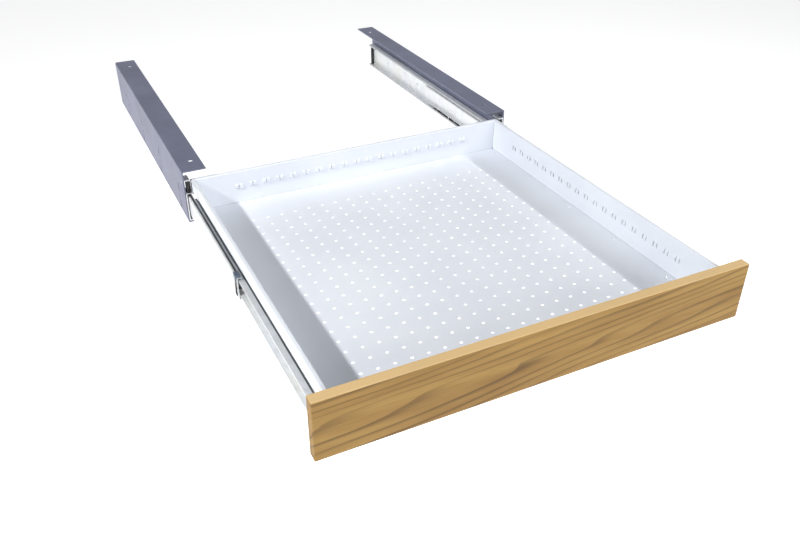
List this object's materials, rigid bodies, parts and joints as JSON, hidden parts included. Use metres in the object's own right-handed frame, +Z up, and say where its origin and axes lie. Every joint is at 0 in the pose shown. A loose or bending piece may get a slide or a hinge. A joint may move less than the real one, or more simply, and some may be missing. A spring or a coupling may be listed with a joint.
{
  "type": "drawer on telescopic slides",
  "caption": "Shallow sheet-steel drawer tray with a wooden front, riding on a pair of full-extension ball-bearing slides hung from under-bench brackets.",
  "frame": {"origin": "centre of the rectangle of four bench bolts, on the top faces of the brackets", "axes": "+X to the right seen from the front, +Y to the back (the drawer closes that way), +Z up"},
  "size_m": [0.658, 1.253, 0.0966],
  "materials": {
    "white_powder_coat": "fine-textured semi-gloss powder coat",
    "oiled_oak": "oiled, with a satin sheen",
    "zinc_screw": "bright zinc plate",
    "zinc_steel": "bright zinc plate, roll-formed",
    "cast_zinc": "die-cast, blue-grey",
    "ball_steel": "polished",
    "cage_plastic": "moulded, matt",
    "grip_plastic": "moulded, matt",
    "black_rubber": "matt",
    "dark_powder_coat": "satin blue-black powder coat"
  },
  "bodies": {
    "bench_side": {"bracket_left": "dark_powder_coat", "bracket_right": "dark_powder_coat", "cabinet_member_left": "zinc_steel", "cabinet_member_right": "zinc_steel", "cabinet_screws_left": "zinc_screw", "cabinet_screws_right": "zinc_screw", "buffer_tab_left": "zinc_steel", "buffer_tab_right": "zinc_steel", "tab_rivet_left": "zinc_screw", "tab_rivet_right": "zinc_screw", "closing_buffer_left": "black_rubber", "closing_buffer_right": "black_rubber", "rear_bumper_left": "black_rubber", "rear_bumper_right": "black_rubber"},
    "drawer": {"tray": "white_powder_coat", "front_panel": "oiled_oak", "front_screws": "zinc_screw", "corner_plate_left": "white_powder_coat", "corner_plate_right": "white_powder_coat", "drawer_member_left": "zinc_steel", "drawer_member_right": "zinc_steel", "wall_studs_left": "white_powder_coat", "wall_studs_right": "white_powder_coat", "wall_nuts_left": "zinc_screw", "wall_nuts_right": "zinc_screw"},
    "middle_left": {"middle_member_left": "zinc_steel", "end_clip_left": "cast_zinc", "lever_rivet_left": "zinc_screw"},
    "outer_cage_left": {"outer_cage_left": "cage_plastic", "outer_balls_left": "ball_steel"},
    "inner_cage_left": {"inner_cage_left": "cage_plastic", "inner_balls_left": "ball_steel"},
    "lever_left": {"release_lever_left": "zinc_steel", "lever_grip_left": "grip_plastic"},
    "middle_right": {"middle_member_right": "zinc_steel", "end_clip_right": "cast_zinc", "lever_rivet_right": "zinc_screw"},
    "outer_cage_right": {"outer_cage_right": "cage_plastic", "outer_balls_right": "ball_steel"},
    "inner_cage_right": {"inner_cage_right": "cage_plastic", "inner_balls_right": "ball_steel"},
    "lever_right": {"release_lever_right": "zinc_steel", "lever_grip_right": "grip_plastic"}
  },
  "joints": [
    {"name": "drawer_slide", "type": "slide", "parent": "bench_side", "child": "drawer", "axis": [0, 1, 0], "range_m": [0, 0.61]},
    {"name": "middle_left_slide", "type": "slide", "parent": "bench_side", "child": "middle_left", "axis": [0, 1, 0], "range_m": [0, 0.305]},
    {"name": "outer_cage_left_slide", "type": "slide", "parent": "bench_side", "child": "outer_cage_left", "axis": [0, 1, 0], "range_m": [0, 0.1525]},
    {"name": "inner_cage_left_slide", "type": "slide", "parent": "bench_side", "child": "inner_cage_left", "axis": [0, 1, 0], "range_m": [0, 0.4575]},
    {"name": "lever_left_turn", "type": "hinge", "parent": "middle_left", "child": "lever_left", "pos_m": [-0.3154, -0.5895, -0.056], "axis": [1, 0, 0], "range_deg": [0, 20], "stiffness_Nm_per_rad": 0.002, "springref_deg": -5.73},
    {"name": "middle_right_slide", "type": "slide", "parent": "bench_side", "child": "middle_right", "axis": [0, 1, 0], "range_m": [0, 0.305]},
    {"name": "outer_cage_right_slide", "type": "slide", "parent": "bench_side", "child": "outer_cage_right", "axis": [0, 1, 0], "range_m": [0, 0.1525]},
    {"name": "inner_cage_right_slide", "type": "slide", "parent": "bench_side", "child": "inner_cage_right", "axis": [0, 1, 0], "range_m": [0, 0.4575]},
    {"name": "lever_right_turn", "type": "hinge", "parent": "middle_right", "child": "lever_right", "pos_m": [0.3154, -0.5895, -0.056], "axis": [1, 0, 0], "range_deg": [0, 20], "stiffness_Nm_per_rad": 0.002, "springref_deg": -5.73}
  ],
  "couplings": [
    {"joint": "middle_left_slide", "follows": "drawer_slide", "ratio": 0.5},
    {"joint": "outer_cage_left_slide", "follows": "drawer_slide", "ratio": 0.25},
    {"joint": "inner_cage_left_slide", "follows": "drawer_slide", "ratio": 0.75},
    {"joint": "middle_right_slide", "follows": "drawer_slide", "ratio": 0.5},
    {"joint": "outer_cage_right_slide", "follows": "drawer_slide", "ratio": 0.25},
    {"joint": "inner_cage_right_slide", "follows": "drawer_slide", "ratio": 0.75}
  ]
}
